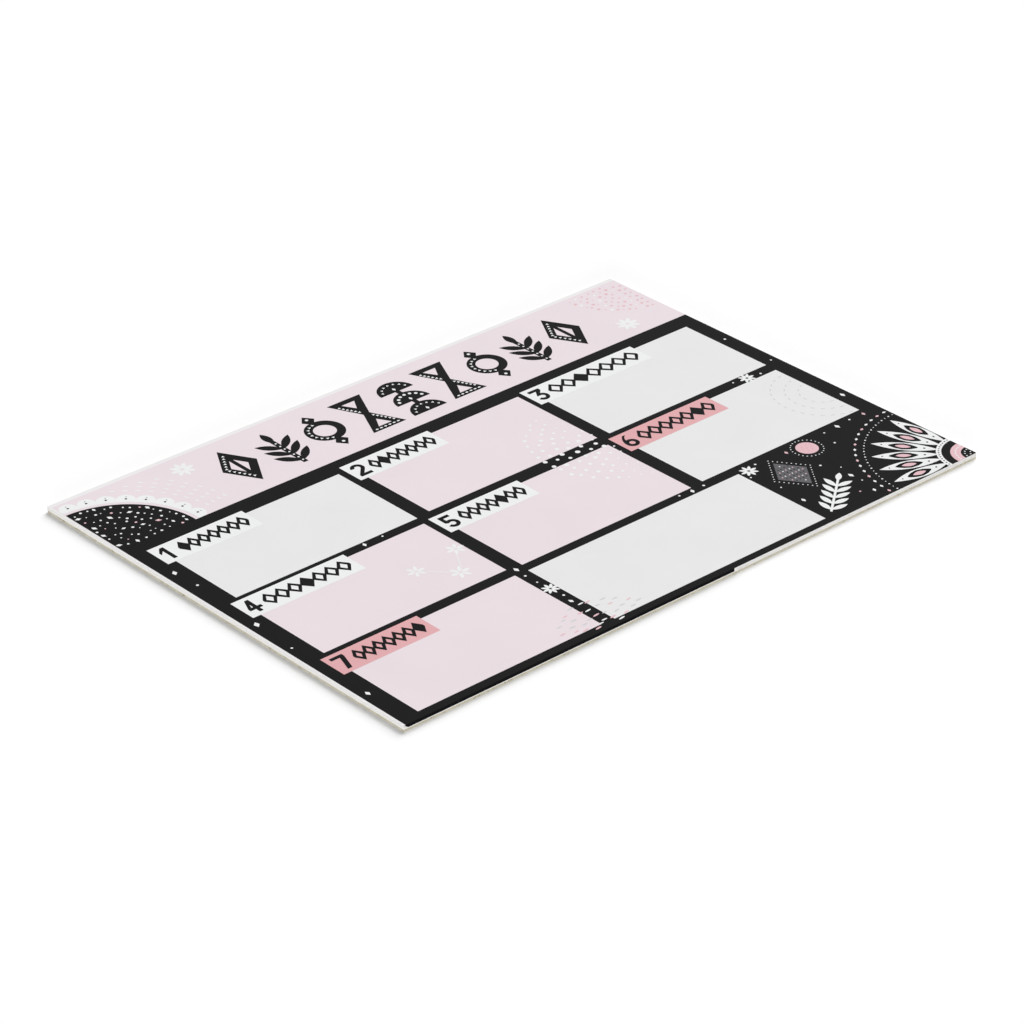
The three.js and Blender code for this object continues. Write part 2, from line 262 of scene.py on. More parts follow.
def bump(tree, shader, source, strength, depth):
    """Raises a surface by a pattern, depth in metres."""
    node = tree.nodes.new("ShaderNodeBump")
    node.inputs["Strength"].default_value = strength
    node.inputs["Distance"].default_value = depth
    tree.links.new(source.outputs[0], node.inputs["Height"])
    tree.links.new(node.outputs["Normal"], shader.inputs["Normal"])


# %% [markdown]
# Ink on uncoated paper keeps the paper's tooth. A slow cloud makes the tint a hair lighter and
# darker, as a large printed field is, and a fine noise raises the fibres.

# %% Ink and paper finishes
TOOTH_SCALE = 1400
TOOTH_STRENGTH = 0.25
TOOTH_DEPTH = 0.02 * MM
CLOUD_SCALE = 26


def paper_tooth(tree, shader, place):
    """The fine roughness of uncoated paper."""
    bump(tree, shader, noise(tree, place, TOOTH_SCALE), TOOTH_STRENGTH, TOOTH_DEPTH)


def ink_finish(name, colour, cloud=0.012):
    """Ink of one colour on the sheet, with the paper's tooth under it."""
    material, tree, shader, place = new_finish(name, roughness=0.85, specular=0.25)
    clouds = noise(tree, place, CLOUD_SCALE, detail=4)
    tint = ramp(tree, clouds, [(0.3, shaded(colour, 1 - cloud)), (0.7, shaded(colour, 1 + cloud))])
    tree.links.new(tint.outputs["Color"], shader.inputs["Base Color"])
    paper_tooth(tree, shader, place)
    return material


def black_ink_finish(name, colour):
    """Solid black, a little worn through on the highest fibres."""
    material, tree, shader, place = new_finish(name, roughness=0.8, specular=0.035)
    fibres = noise(tree, place, TOOTH_SCALE, detail=2)
    tint = ramp(tree, fibres, [(0.35, shaded(colour, 0.9)), (0.72, shaded(colour, 1.25))])
    tree.links.new(tint.outputs["Color"], shader.inputs["Base Color"])
    bump(tree, shader, fibres, TOOTH_STRENGTH, TOOTH_DEPTH)
    return material


INK_BLACK = linear(20, 20, 21)
INK_PINK = linear(229, 217, 222)
INK_GREY = linear(227, 227, 227)
PAPER_WHITE = linear(234, 235, 235)
INK_SALMON = linear(221, 167, 170)
INK_ROSE = linear(224, 185, 191)
INK_SLATE = linear(86, 85, 89)
INK_MIST = linear(206, 206, 207)
PAPER_TOP = linear(232, 230, 231)

finishes = {
    "print_black": black_ink_finish("black_ink", INK_BLACK),
    "print_pink": ink_finish("pink_ink", INK_PINK),
    "print_grey": ink_finish("pale_grey_ink", INK_GREY),
    "print_white": ink_finish("bare_paper", PAPER_WHITE),
    "print_salmon": ink_finish("salmon_ink", INK_SALMON, cloud=0.02),
    "print_rose": ink_finish("rose_ink", INK_ROSE, cloud=0.02),
    "print_slate": ink_finish("slate_ink", INK_SLATE, cloud=0.04),
}
mist_ink = ink_finish("mist_ink", INK_MIST)
unprinted_top = ink_finish("unprinted_top", PAPER_TOP)

films = 0
for part in record["subparts"]:
    finish = finishes.get(part["material_slot"])
    if finish:
        node = frame["nodes"][part["node"]]
        node.data.materials.clear()
        node.data.materials.append(finish)
        films += 1
print(len(finishes), "inks on", films, "films")

# %% [markdown]
# ## The sheets
#
# A guillotine cuts the pad after it is glued, but sheets never come out quite alike. The block is
# modelled as its real 24 sheets. One sheet is made and copied, each copy up to about a tenth of a
# millimetre narrower and shorter, so that the cut sides show fine lines. All stay flush at the glued
# back, and a hair of air parts them. The top sheet keeps its full size, because the print lies on it,
# and is lifted by that hair, so that it reaches the solid's height.

# %% Helpers for modelling


def deselect():
    """The operators act on all that is selected, so each step starts from nothing."""
    bpy.ops.object.select_all(action="DESELECT")


def activate(obj):
    """Selects one object alone and makes it the one that operators act on."""
    deselect()
    obj.select_set(True)
    bpy.context.view_layer.objects.active = obj


def settle(obj):
    """Moves an object's place, turn and size into its mesh."""
    activate(obj)
    bpy.ops.object.transform_apply(location=True, rotation=True, scale=True)
    return obj


def joined(objects, name):
    """One object from many, at the origin."""
    deselect()
    for obj in objects:
        obj.select_set(True)
    bpy.context.view_layer.objects.active = objects[0]
    bpy.ops.object.join()
    whole = bpy.context.object
    whole.name = name
    return settle(whole)


def block(name, low, high):
    """A box between two corners, with its size in its mesh."""
    middle = (low + high) / 2
    bpy.ops.mesh.primitive_cube_add(size=1, location=middle)
    obj = bpy.context.object
    obj.name = name
    obj.scale = high - low
    return settle(obj)


def bevel_edges(obj, width):
    """Rounds all of an object's edges a little."""
    activate(obj)
    modifier = obj.modifiers.new("soft_edges", "BEVEL")
    modifier.width = width
    modifier.segments = 2
    modifier.limit_method = "ANGLE"
    bpy.ops.object.modifier_apply(modifier=modifier.name)
    return obj


def add_copy(pattern, location, turn, size):
    """A copy with its own mesh, placed, turned about the vertical and scaled."""
    copy = pattern.copy()
    copy.data = pattern.data.copy()
    copy.location = location
    copy.rotation_euler = (0, 0, turn)
    copy.scale = size
    bpy.context.collection.objects.link(copy)
    return copy


def dress(obj, material):
    """Gives a piece its finish and makes it part of the planner."""
    obj.data.materials.clear()
    obj.data.materials.append(material)
    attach(obj, "root")


# %% [markdown]
# The sides take their stripes from a noise that is stretched along the sheets and packed tight
# through the stack, in a white painted lighter than the top's paper, as painted light on the cut
# sides. The black border runs off the front edge, and its ink colours the cut side of the upper
# sheets to a little past the middle of the pad. It thins out over a short slant at the corner. The
# sheet on top has a finish of its own for the strips that the print leaves bare.

# %% Stack the sheets
SHEETS = 24
SHEET_SHORT = 0.12 * MM
AIR_SHARE = 0.05
BLEED_LOWEST = 1.65 * MM
BLEED_RIGHT = 20 * MM
BLEED_DEPTH = 0.14 * MM
BLEED_SLANT = 3 * MM


def arithmetic(tree, operation, *values):
    """One math node, fed with sockets and numbers."""
    node = tree.nodes.new("ShaderNodeMath")
    node.operation = operation
    for socket, value in zip(node.inputs, values):
        if isinstance(value, (int, float)):
            socket.default_value = value
        else:
            tree.links.new(value, socket)
    return node.outputs[0]


def edge_bleed(tree, place, low, high):
    """One where the border's ink colours the cut side, and zero elsewhere."""
    axes = tree.nodes.new("ShaderNodeSeparateXYZ")
    tree.links.new(place.outputs["Object"], axes.inputs[0])
    x, y, z = axes.outputs
    slope = (high.z - BLEED_LOWEST) / BLEED_SLANT
    under_slant = arithmetic(tree, "ADD", z, arithmetic(tree, "MULTIPLY", x, slope))
    tests = [
        arithmetic(tree, "LESS_THAN", y, low.y + BLEED_DEPTH),
        arithmetic(tree, "LESS_THAN", x, BLEED_RIGHT),
        arithmetic(tree, "GREATER_THAN", z, BLEED_LOWEST),
        arithmetic(tree, "GREATER_THAN", under_slant, high.z + low.x * slope),
    ]
    whole = tests[0]
    for test in tests[1:]:
        whole = arithmetic(tree, "MULTIPLY", whole, test)
    return whole


def sheet_edge_finish(low, high):
    """White sheets seen from their cut sides, in faint stripes, with ink on the front side. The white is
    painted lighter than the top's paper, as painted light on the cut sides.
    """
    material, tree, shader, place = new_finish("sheet_edges", roughness=0.9, specular=0.05)
    stripes = noise(tree, place, 1.0, detail=2, stretch=(9, 9, 14000))
    # The stripes are the sheets' own tone. Both stripe colours are painted lighter than the top's paper,
    # which is painted light on the cut sides.
    tint = ramp(tree, stripes, [(0.3, linear(238, 236, 233)), (0.68, linear(248, 247, 245))])
    inked = tree.nodes.new("ShaderNodeMix")
    inked.data_type = "RGBA"
    inked.inputs["B"].default_value = INK_BLACK
    tree.links.new(edge_bleed(tree, place, low, high), inked.inputs["Factor"])
    tree.links.new(tint.outputs["Color"], inked.inputs["A"])
    tree.links.new(inked.outputs["Result"], shader.inputs["Base Color"])
    paper_tooth(tree, shader, place)
    return material


block_low, block_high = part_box("paper_block")
sheet_step = (block_high.z - block_low.z) / SHEETS
sheet = block("one_sheet", Vector((block_low.x, block_low.y, -sheet_step / 2)),
              Vector((block_high.x, block_high.y, sheet_step / 2 - sheet_step * AIR_SHARE)))
sheets = []
for i in range(SHEETS):
    top = i == SHEETS - 1
    short_x = 0 if top else dice.uniform(0, SHEET_SHORT) / (block_high.x - block_low.x)
    short_y = 0 if top else dice.uniform(0, SHEET_SHORT) / (block_high.y - block_low.y)
    lift = sheet_step * AIR_SHARE if top else 0
    z = block_low.z + (i + 0.5) * sheet_step + lift
    flush = block_high.y * short_y
    sheets.append(add_copy(sheet, (0, flush, z), 0, (1 - short_x, 1 - short_y, 1)))
bpy.data.objects.remove(sheet)
tear_off_sheets = joined(sheets, "tear_off_sheets")
dress(tear_off_sheets, sheet_edge_finish(block_low, block_high))
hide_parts("paper_block")
tear_off_sheets.data.materials.append(unprinted_top)
for polygon in tear_off_sheets.data.polygons:
    on_top = polygon.center.z > block_high.z - sheet_step / 4 and polygon.normal.z > 0.5
    polygon.material_index = 1 if on_top else 0
print(SHEETS, "sheets,", round(sheet_step / MM, 3), "mm each")

# %% [markdown]
# ## The chipboard back
#
# Chipboard is pressed from waste paper. It is tan, soft at its cut corners and full of short
# fibres, some dark and some pale. The board keeps the solid's size and gets a small round on its
# edges.

# %% Cut the board
BOARD_ROUND = 0.12 * MM


def chipboard_finish():
    """Tan board, lighter and darker in broad clouds, with dark fibres."""
    material, tree, shader, place = new_finish("chipboard", roughness=0.95, specular=0.15)
    cloud = noise(tree, place, 180, detail=5)
    tint = ramp(tree, cloud, [(0.3, linear(191, 184, 163)), (0.7, linear(208, 202, 182))])
    flecks = noise(tree, place, 620, detail=1, stretch=(1, 0.3, 1))
    marks = ramp(tree, flecks, [(0.63, (0, 0, 0, 1)), (0.70, (1, 1, 1, 1))])
    mix = tree.nodes.new("ShaderNodeMix")
    mix.data_type = "RGBA"
    mix.inputs["B"].default_value = linear(163, 153, 130)
    tree.links.new(marks.outputs["Color"], mix.inputs["Factor"])
    tree.links.new(tint.outputs["Color"], mix.inputs["A"])
    tree.links.new(mix.outputs["Result"], shader.inputs["Base Color"])
    bump(tree, shader, noise(tree, place, 1100, detail=4), 0.5, 0.05 * MM)
    return material


board_low, board_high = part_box("backing_board")
chipboard_back = bevel_edges(block("chipboard_back", board_low, board_high), BOARD_ROUND)
dress(chipboard_back, chipboard_finish())
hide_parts("backing_board")

# %% [markdown]
# ## The glued edge
#
# Padding glue is brushed over the back edge of the whole stack and dries to a white rubbery skin.
# It follows the brush, so its outer face is gently uneven. In edit mode the box is cut across its
# length and its outer face is cut again into rows. Each point inside that face is then pressed in by
# its own small amount. The edges to cut are picked in edge mode, because the same picks in vertex
# mode would take in every face between them.

# %% Brush on the glue
GLUE_COLUMNS = 84
GLUE_ROWS = 6
GLUE_DENT = 0.1 * MM
CLOSE = 0.01 * MM


def cut_edges(obj, wanted, cuts):
    """Cuts the edges that pass a test on their two end points, and no others."""
    activate(obj)
    bpy.ops.object.mode_set(mode="EDIT")
    bpy.ops.mesh.select_mode(type="EDGE")
    bpy.ops.mesh.select_all(action="DESELECT")
    bpy.ops.object.mode_set(mode="OBJECT")
    for edge in obj.data.edges:
        a, b = (obj.data.vertices[i].co for i in edge.vertices)
        edge.select = wanted(a, b)
    bpy.ops.object.mode_set(mode="EDIT")
    bpy.ops.mesh.subdivide(number_cuts=cuts)
    bpy.ops.object.mode_set(mode="OBJECT")


def glue_finish():
    """White padding glue, slightly shiny, with long brush marks."""
    material, tree, shader, place = new_finish("padding_glue", roughness=0.45, specular=0.4)
    strokes = noise(tree, place, 1.0, detail=3, stretch=(40, 40, 2600))
    tint = ramp(tree, strokes, [(0.3, linear(226, 224, 218)), (0.7, linear(236, 235, 231))])
    tree.links.new(tint.outputs["Color"], shader.inputs["Base Color"])
    bump(tree, shader, strokes, 0.4, 0.05 * MM)
    return material


glue_low, glue_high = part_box("glue_binding")
glue_skin = block("glue_skin", glue_low, glue_high)


def runs_along(a, b):
    """Whether an edge lies along the pad's back."""
    return abs(a.x - b.x) > MM


def stands_on_outer_face(a, b):
    """Whether an edge is an upright one of the glue's outer face."""
    return abs(a.z - b.z) > MM and min(a.y, b.y) > glue_high.y - CLOSE


cut_edges(glue_skin, runs_along, GLUE_COLUMNS - 1)
cut_edges(glue_skin, stands_on_outer_face, GLUE_ROWS - 1)
for vertex in glue_skin.data.vertices:
    between = glue_low.z + CLOSE < vertex.co.z < glue_high.z - CLOSE
    if between and vertex.co.y > glue_high.y - CLOSE:
        vertex.co.y -= dice.uniform(0, GLUE_DENT)
activate(glue_skin)
bpy.ops.object.shade_smooth_by_angle(angle=math.radians(40))
dress(glue_skin, glue_finish())
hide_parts("glue_binding")
print("glue skin:", len(glue_skin.data.polygons), "faces")

# %% [markdown]
# ## Small print
#
# The large fields of the print are solids of the model. The small ornaments are printed here. Each
# kind of mark is cut once, like a printer's die: a dot, a dash, a lozenge, a triangle and a petal.
# A die is then copied to its places, and the copies of one ink become one piece, a film so thin that
# it has no edge to see.

# %% The dies
FILM = 0.02 * MM
PETAL_WIDTH = 0.42
PETAL_TAPER = 0.55
sheet_left = block_low.x
sheet_back = block_high.y
SHEET_WIDE = round((block_high.x - block_low.x) / MM, 3)
SHEET_DEEP = round((block_high.y - block_low.y) / MM, 3)
field_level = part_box("print_header")[1].z
motif_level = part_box("print_tab_1")[1].z


def die(name, sides, spin=0.0, width=1.0, length=1.0):
    """A flat prism one millimetre across its corners before it is stretched."""
    bpy.ops.mesh.primitive_cylinder_add(vertices=sides, radius=MM / 2, depth=FILM, rotation=(0, 0, spin))
    obj = bpy.context.object
    obj.name = name
    settle(obj)
    obj.scale = (width, length, 1)
    return settle(obj)


def petal_die():
    """A petal that points along +Y, from a round blank made narrow, most of all at its two ends."""
    obj = die("petal_die", 12)
    for vertex in obj.data.vertices:
        along = vertex.co.y / (MM / 2)
        vertex.co.x *= PETAL_WIDTH * (1 - PETAL_TAPER * along ** 2)
    return obj


dies = {
    "dot": die("dot_die", 14),
    "dash": die("dash_die", 8, spin=math.pi / 8, length=0.28),
    "lozenge": die("lozenge_die", 4, width=0.62),
    "triangle": die("triangle_die", 3),
    "petal": petal_die(),
}


def page(x, y, level):
    """A place on the page, in millimetres from the back left corner, as a point in the model."""
    return Vector((sheet_left + x * MM, sheet_back - y * MM, level + FILM / 2))


def page_of(point):
    """The place on the page of a point in the model."""
    return (point.x - sheet_left) / MM, (sheet_back - point.y) / MM


print_runs = {}


def mark(ink, kind, x, y, size, turn=0.0, level=None):
    """Prints one mark, with its place and size in millimetres and its turn in degrees."""
    at = page(x, y, field_level if level is None else level)
    copy = add_copy(dies[kind], at, math.radians(turn), (size, size, 1))
    print_runs.setdefault(ink, []).append(copy)


def on_arc(x, y, radius, angle):
    """The place at an angle round a centre. Angles turn from the right towards the back of the page."""
    turn = math.radians(angle)
    return x + radius * math.cos(turn), y - radius * math.sin(turn)


def flower(ink, x, y, size, petals):
    """Petals round a small gap."""
    for i in range(petals):
        angle = i * 360 / petals
        px, py = on_arc(x, y, size * 0.62, angle)
        mark(ink, "petal", px, py, size, angle - 90)


# %% [markdown]
# The header's nine ornaments carry rows of small white triangles along their strokes, and dots on
# their stems. The rows follow each ornament's own box, so they stay on it.

# %% Inlays on the header's ornaments
STROKE_MM = 5.2
INLAY_MM = 2.3


def inlay_row(start, end, count, kind="triangle", size=INLAY_MM):
    """Marks in a row on an ornament, each pointing along the row."""
    way = math.degrees(math.atan2(start[1] - end[1], end[0] - start[0]))
    for i in range(count):
        share = (i + 0.5) / count
        x = start[0] + (end[0] - start[0]) * share
        y = start[1] + (end[1] - start[1]) * share
        mark("print_white", kind, x, y, size, way - 90, motif_level)


def inlay_lozenge(x, y, wide, high):
    """Two rows down the left half of the stroke. Its middle line is a smaller lozenge."""
    share = 1 - STROKE_MM * math.hypot(wide, high) / (wide * high)
    left = (x - wide / 2 * share, y)
    inlay_row((x, y + high / 2 * share), left, 6)
    inlay_row(left, (x, y - high / 2 * share), 6)


def inlay_sprig(x, y, wide, high):
    """Dots on the stem."""
    inlay_row((x, y + high * 0.48), (x, y - high * 0.2), 7, "dot", 1.3)


def inlay_medallion(x, y, wide, high):
    """Triangles on the left half of the ring, and a dot in each end lozenge."""
    radius = wide / 2 - STROKE_MM / 2
    for i in range(9):
        angle = 90 + (i + 0.5) * 20
        px, py = on_arc(x, y, radius, angle)
        mark("print_white", "triangle", px, py, INLAY_MM, angle - 90, motif_level)
    for way in (-1, 1):
        mark("print_white", "dot", x, y + way * (high / 2 - 4.4), 2.0, 0, motif_level)


def inlay_hourglass(x, y, wide, high):
    """Lozenges on the foot, and triangles along one of the two strokes that cross at the waist."""
    edge = y + high / 2 - 2.1
    inlay_row((x - wide / 2 + 2.6, edge), (x + wide / 2 - 2.6, edge), 6, "lozenge", 2.4)
    for way in (-1, 1):
        far = (x + way * (wide / 2 - 3.6), y + way * (high / 2 - 4.8))
        inlay_row(far, (x + way * 1.4, y + way * 2.6), 6)


def inlay_shell(x, y, wide, high):
    """Three arcs of marks, one above the other, with a lozenge inside each."""
    radius = wide / 2
    step = (high - radius) / 2
    for tier, kind in enumerate(("triangle", "dot", "triangle")):
        base = y + high / 2 - tier * step
        for i in range(7):
            angle = 20 + i * 140 / 6
            px, py = on_arc(x, base, radius * 0.74, angle)
            mark("print_white", kind, px, py, INLAY_MM * 0.9, angle - 90, motif_level)
        mark("print_white", "lozenge", x, base - radius * 0.26, 3.4, 0, motif_level)


inlays = {
    "lozenge": inlay_lozenge,
    "sprig": inlay_sprig,
    "medallion": inlay_medallion,
    "hourglass": inlay_hourglass,
    "shell": inlay_shell,
}
for name in sorted(frame["nodes"]):
    if name.startswith("print_mark_"):
        low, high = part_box(name)
        x, y = page_of((low + high) / 2)
        inlays[name.split("_")[-1]](x, y, (high.x - low.x) / MM, (high.y - low.y) / MM)
print(len(print_runs["print_white"]), "inlays in the header")

# %% [markdown]
# The black quarter fan in the header's corner is strewn with dots in arcs, a little off their
# places as if they were dabbed by hand. Arcs of white dashes open beyond its scallops, and two
# flowers fill gaps in the header.

# %% The header's fan and corners
fan_low, fan_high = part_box("print_fan")
FAN_X, FAN_Y = page_of(Vector((fan_low.x, fan_low.y, 0)))
FAN_RADIUS = (fan_high.x - fan_low.x) / MM
scallop_low, scallop_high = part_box("print_scallops")
SCALLOP_REACH = (scallop_high.x - scallop_low.x) / MM
FAN_ROWS = 8
FIRST_ROW = 7
RIM_GAP = 3
FAN_DAB = 1.4
SCALLOPS = 8
DASH_ARCS = 4
DASH_GAP = 5
DASH_STEP = 4.6
DASH_START = 8
DASH_PITCH = 6.2


def dabbed(value, by):
    """A value that is off by a little, as by hand."""
    return value + dice.uniform(-by, by)


for row in range(FAN_ROWS):
    radius = FIRST_ROW + row * (FAN_RADIUS - RIM_GAP - FIRST_ROW) / (FAN_ROWS - 1)
    count = 2 + 2 * row
    for i in range(count):
        angle = dabbed((i + 0.5) * 90 / count, 60 / radius)
        x, y = on_arc(FAN_X, FAN_Y, dabbed(radius, FAN_DAB), angle)
        ink = "print_rose" if (i + 2 * row) % 9 == 3 else "print_white"
        if (i + row) % 6 == 1:
            mark(ink, "lozenge", x, y, dice.uniform(2.6, 4.2), dice.uniform(0, 90), motif_level)
        else:
            mark(ink, "dot", x, y, dice.uniform(0.8, 1.7), 0, motif_level)
for i in range(SCALLOPS):
    angle = (i + 0.5) * 90 / SCALLOPS
    for inside, size in ((4.4, 1.4), (2.2, 0.7)):
        x, y = on_arc(FAN_X, FAN_Y, SCALLOP_REACH - inside, angle)
        mark("print_black", "dot", x, y, size, 0, motif_level)
for row in range(DASH_ARCS):
    radius = SCALLOP_REACH + DASH_GAP + DASH_STEP * row
    count = 9 - row
    for i in range(count):
        angle = DASH_START + i * DASH_PITCH
        x, y = on_arc(FAN_X, FAN_Y, radius, angle)
        mark("print_white", "dash", x, y, 3.6, angle + 90)
flower("print_white", 80, 16, 6.8, 8)
flower("print_white", 386, 51, 6.8, 8)

# %% [markdown]
# Dots and lozenges, most of them rose, fill the header's back right corner in arcs.

# %% Dots in the back right corner
CORNER_X = SHEET_WIDE
CORNER_Y = page_of(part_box("print_header")[1])[1]
CORNER_ARCS = 7
CORNER_FIRST = 9
CORNER_STEP = 5.2
CORNER_START = 184
CORNER_SWEEP = 82
for row in range(CORNER_ARCS):
    radius = CORNER_FIRST + CORNER_STEP * row
    count = 3 + 2 * row
    for i in range(count):
        angle = CORNER_START + (i + 0.5) * CORNER_SWEEP / count
        x, y = on_arc(CORNER_X, CORNER_Y, dabbed(radius, 0.5), dabbed(angle, 1))
        ink = "print_white" if (2 * i + row) % 5 == 0 else "print_rose"
        mark(ink, "dot" if (i + row) % 3 else "lozenge", x, y, dice.uniform(1.5, 2.3))

# %% [markdown]
# Where the bars cross, soft white dots spread over the pink boxes in arcs, largest in the middle of
# each arc. They stop short of the tabs.

# %% The spray at the crossing
box_2_low, box_2_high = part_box("print_box_2")
box_6_low, box_6_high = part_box("print_box_6")
CROSS_X = (page_of(box_2_high)[0] + page_of(box_6_low)[0]) / 2
CROSS_Y = (page_of(box_2_low)[1] + page_of(box_6_high)[1]) / 2
SPRAY_ARCS = 6
SPRAY_FIRST = 10
SPRAY_STEP = 7.2
SPRAY_START = 98
SPRAY_SWEEP = 164
SPRAY_DAB = 1.2
for row in range(SPRAY_ARCS):
    radius = SPRAY_FIRST + SPRAY_STEP * row
    count = 5 + 3 * row
    for i in range(count):
        share = (i + 0.5) / count
        size = (1.0 + 2.0 * math.sin(math.pi * share)) * dice.uniform(0.7, 1.1)
        radius_here = dabbed(radius, SPRAY_DAB)
        x, y = on_arc(CROSS_X, CROSS_Y, radius_here, dabbed(SPRAY_START + share * SPRAY_SWEEP, SPRAY_DAB))
        mark("print_white", "dot", x, y, size)

# %% [markdown]
# The fourth box has a garland of dots between three small flowers, and the sixth has dashed
# half rings at its right edge, printed in a grey that is barely there.

# %% Garland and dashed rings
GARLAND_DOTS = 9
for x, y, size in [(103, 187, 5.2), (120, 203, 5.8), (134, 183, 5.2)]:
    flower("print_white", x, y, size, 6)
for i in range(GARLAND_DOTS):
    share = (i + 0.5) / GARLAND_DOTS
    mark("print_white", "dot", 107 + 9 * share, 190 + 10 * share, 0.9)
    mark("print_white", "dot", 124 + 7 * share, 199 - 12 * share, 0.9)
RING_X = page_of(box_6_high)[0]
RING_Y = 188
RING_RADII = (13, 21, 29)
RING_PITCH = 6
RING_START = 94
RING_SWEEP = 172
for radius in RING_RADII:
    count = round(radius * math.pi / RING_PITCH)
    for i in range(count):
        angle = RING_START + (i + 0.5) * RING_SWEEP / count
        x, y = on_arc(RING_X, RING_Y, radius, angle)
        mark("mist", "dash", x, y, 3.0, angle + 90)

# %% [markdown]
# Small lozenges and dots are scattered on the black borders and bars. A half round of long dashes
# opens from the front edge between the last two boxes. Every third dash is rose. The others are white
# on the black and a pale grey on a box, where white would not show, so a helper tells whether a place
# lies on a box.

# %% Marks on the borders
BORDER_MARKS = [
    ("lozenge", 7.4, 103, 4.6), ("dot", 8.6, 121, 1.6), ("lozenge", 6.6, 173, 5.2),
    ("dot", 5.4, 203, 1.4), ("lozenge", 6.2, 262, 4.2), ("lozenge", 415, 199, 4.4),
    ("dot", 414.6, 104, 1.6), ("dot", 415.6, 141, 1.3), ("lozenge", 143.4, 221, 4.4),
    ("dot", 142.6, 229, 1.5), ("dot", 142.8, 238, 1.2), ("dot", 144.2, 257, 1.6),
    ("lozenge", 143, 264, 3.8), ("dot", 281, 222, 1.6), ("lozenge", 272, 222.4, 4.0),
    ("dot", 263, 221.4, 1.3), ("lozenge", 101, 147.2, 3.8), ("dot", 114, 146.6, 1.3),
    ("dot", 379, 146.6, 1.2), ("dot", 399, 149, 1.5),
]
for kind, x, y, size in BORDER_MARKS:
    mark("print_white", kind, x, y, size, 0 if kind == "dot" else dice.uniform(-25, 25))
flower("print_white", 143.6, 247.5, 4.6, 8)
flower("print_white", 389, 147.8, 4.8, 8)
BOXES = [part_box(name) for name in sorted(frame["nodes"]) if name.startswith("print_box_")]


def on_box(x, y):
    """Whether a place on the page lies on one of the boxes, and not on the black."""
    at = page(x, y, 0)
    return any(low.x < at.x < high.x and low.y < at.y < high.y for low, high in BOXES)


BURST_X = 143.4
BURST_Y = 298
BURST_ARCS = 4
BURST_FIRST = 9
BURST_STEP = 6.5
BURST_START = 16
BURST_SWEEP = 148
BURST_DASH = 4.2
LAST_DASH_Y = 295.4
for row in range(BURST_ARCS):
    radius = BURST_FIRST + BURST_STEP * row
    count = 5 + 2 * row
    for i in range(count):
        angle = BURST_START + (i + 0.5) * BURST_SWEEP / count
        x, y = on_arc(BURST_X, BURST_Y, dabbed(radius, 1), dabbed(angle, 3))
        pale = "mist" if on_box(x, y) else "print_white"
        ink = "print_rose" if (i + row) % 3 == 1 else pale
        if y < LAST_DASH_Y:
            mark(ink, "dash", x, y, dabbed(BURST_DASH, 0.6), dabbed(4, 6))

# %% [markdown]
# ## The corner panel
#
# The rosette gets a black eye in the sheet's corner, which is a round blank cut down to a quarter by
# two bisections. Each petal gets a rose slit in a black one and two dots. Arcs of dots fill the eye
# and the core, and an arc of dots and one of lozenges run outside.

# %% Rosette
ROSETTE_X = SHEET_WIDE
ROSETTE_Y = SHEET_DEEP
EYE_RADIUS = 8.6
PETALS = 6
PETAL_MIDDLE = 41
BLACK_SLIT = 17
ROSE_SLIT = 9
CORE_ARC = 21
EYE_ARC = 11.6
DOTTED_ARC = 62.5
LOZENGE_ARC = 67.5


def quarter(count):
    """Angles spread evenly over the quarter turn that lies on the sheet."""
    return [90 + (i + 0.5) * 90 / count for i in range(count)]


def round_rosette(ink, kind, radius, angle, size, turn=0.0, level=None):
    """Prints one mark at an angle round the rosette's middle."""
    x, y = on_arc(ROSETTE_X, ROSETTE_Y, radius, angle)
    mark(ink, kind, x, y, size, turn, level)


eye_at = page(ROSETTE_X, ROSETTE_Y, motif_level)
bpy.ops.mesh.primitive_cylinder_add(vertices=64, radius=EYE_RADIUS * MM, depth=FILM, location=eye_at)
rosette_eye = bpy.context.object
activate(rosette_eye)
bpy.ops.object.mode_set(mode="EDIT")
for outward in ((1, 0, 0), (0, -1, 0)):
    bpy.ops.mesh.select_all(action="SELECT")
    bpy.ops.mesh.bisect(plane_co=eye_at, plane_no=outward, use_fill=True, clear_outer=True)
bpy.ops.mesh.select_all(action="SELECT")
bpy.ops.mesh.normals_make_consistent(inside=False)
bpy.ops.object.mode_set(mode="OBJECT")
print_runs.setdefault("print_black", []).append(rosette_eye)
for angle in quarter(PETALS):
    round_rosette("print_black", "petal", PETAL_MIDDLE, angle, BLACK_SLIT, angle - 90, motif_level)
    round_rosette("print_rose", "petal", PETAL_MIDDLE, angle, ROSE_SLIT, angle - 90, motif_level + FILM)
    for radius, size in ((29, 1.3), (53, 1.0)):
        round_rosette("print_black", "dot", radius, angle, size, level=motif_level)
for angle in quarter(14):
    round_rosette("print_black", "dot", CORE_ARC, angle, 1.0, level=motif_level)
for radius, count in ((3.5, 2), (6.5, 4)):
    for angle in quarter(count):
        round_rosette("print_white", "dot", radius, angle, 0.9, level=motif_level + FILM)
for angle in quarter(9):
    round_rosette("print_white", "dot", EYE_ARC, angle, 1.1, level=motif_level)
for i, angle in enumerate(quarter(30)):
    round_rosette("print_white", "dot", DOTTED_ARC, angle, 1.1 if i % 2 else 0.7)
for i, angle in enumerate(quarter(17)):
    ink = "print_rose" if i % 3 == 1 else "print_white"
    round_rosette(ink, "lozenge", LOZENGE_ARC, angle, 3.0, angle)

# %% [markdown]
# The dark lozenge is filled with tiny dots inside a dotted border, and the disc with salmon ones
# inside a ring of white. A flower, lozenges and dots are strewn over the rest of the panel.

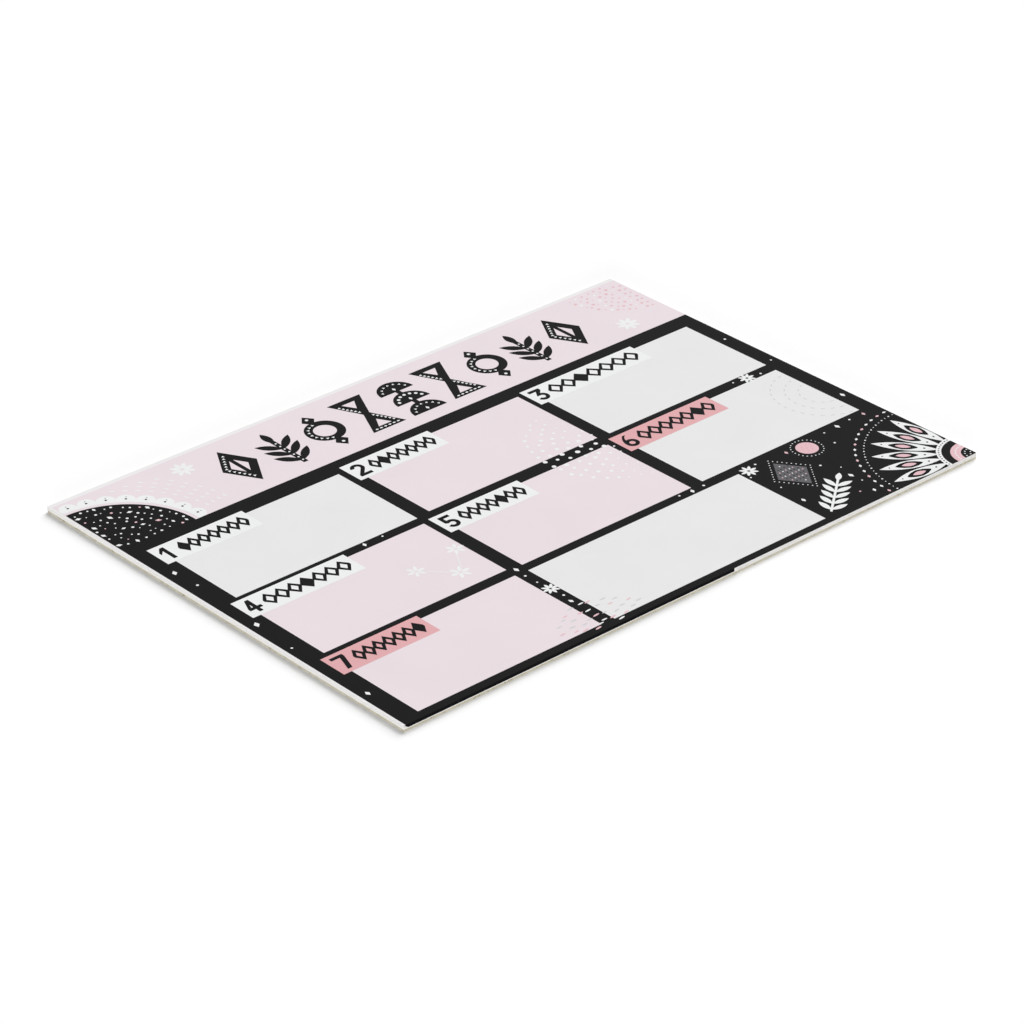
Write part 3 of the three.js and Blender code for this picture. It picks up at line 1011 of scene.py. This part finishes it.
# %% Dark lozenge, disc and scatter
dark_low, dark_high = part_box("print_panel_lozenge")
DARK_X, DARK_Y = page_of((dark_low + dark_high) / 2)
DARK_HALF_X = (dark_high.x - dark_low.x) / 2 / MM
DARK_HALF_Y = (dark_high.y - dark_low.y) / 2 / MM
DOT_PITCH_X = 2.6
DOT_PITCH_Y = 2.5
FILLED_SHARE = 0.86
BORDER_DOTS = 36
DOT_INKS = ("print_white", "print_black", "print_rose", "print_black")
for row in range(-5, 6):
    for column in range(-4, 5):
        u = (column + 0.5 * (row % 2)) * DOT_PITCH_X
        v = row * DOT_PITCH_Y
        if abs(u) / DARK_HALF_X + abs(v) / DARK_HALF_Y < FILLED_SHARE:
            ink = DOT_INKS[(row + 2 * column) % 4]
            x = DARK_X + dabbed(u, 0.3)
            y = DARK_Y + dabbed(v, 0.3)
            mark(ink, "dot", x, y, 0.95, 0, motif_level)
CORNERS = [(1, 0), (0, 1), (-1, 0), (0, -1), (1, 0)]
for i in range(BORDER_DOTS):
    side, along = divmod(i / BORDER_DOTS * 4, 1)
    start, end = CORNERS[int(side)], CORNERS[int(side) + 1]
    u = start[0] * (1 - along) + end[0] * along
    v = start[1] * (1 - along) + end[1] * along
    x = DARK_X + u * (DARK_HALF_X + 3)
    y = DARK_Y + v * (DARK_HALF_Y + 4)
    mark("print_white", "dot", x, y, 0.8)

disc_low, disc_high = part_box("print_panel_disc")
DISC_X, DISC_Y = page_of((disc_low + disc_high) / 2)
for radius, count in ((0, 1), (3.2, 6)):
    for i in range(count):
        x, y = on_arc(DISC_X, DISC_Y, radius, i * 60)
        mark("print_salmon", "dot", x, y, 1.0, 0, motif_level)
DISC_RING = 9.4
RING_DOTS = 24
for i in range(RING_DOTS):
    x, y = on_arc(DISC_X, DISC_Y, DISC_RING, i * 360 / RING_DOTS)
    mark("print_white", "dot", x, y, 0.8)

PANEL_MARKS = [
    ("dot", 306.6, 233, 1.2), ("dot", 319, 224, 1.5), ("dot", 311, 252, 1.1),
    ("lozenge", 341.5, 226, 3.4), ("dot", 345, 249, 1.5), ("lozenge", 349.5, 268, 4.4),
    ("dot", 352, 258, 1.0), ("lozenge", 310, 270, 3.8), ("dot", 340, 284, 1.2),
    ("lozenge", 347, 288, 3.4), ("dot", 374, 224, 1.2), ("lozenge", 385, 223.5, 4.4),
    ("dot", 396, 222.5, 1.4), ("lozenge", 407, 223, 3.4), ("dot", 370, 236, 1.4),
    ("dot", 350, 276, 1.1),
]
flower("print_white", 311, 227, 5.0, 8)
for i, (kind, x, y, size) in enumerate(PANEL_MARKS):
    ink = "print_rose" if i % 5 == 3 else "print_white"
    mark(ink, kind, x, y, size, 0 if kind == "dot" else dice.uniform(-30, 30))

# %% [markdown]
# ## Pulling the print
#
# The copies of each ink are joined into one piece, and the dies are put away. The mist ink has no
# slot of its own in the model, and gets its own finish here.

# %% Join the marks of each ink
for ink, copies in sorted(print_runs.items()):
    count = len(copies)
    run = joined(copies, "small_print_" + ink.replace("print_", ""))
    dress(run, mist_ink if ink == "mist" else finishes[ink])
    print(run.name + ":", count, "marks,", len(run.data.polygons), "faces")
for pattern in dies.values():
    bpy.data.objects.remove(pattern)

# %% [markdown]
# Last, the box of the dressed planner is measured.

# %% Measure the dressed planner's box
low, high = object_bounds()
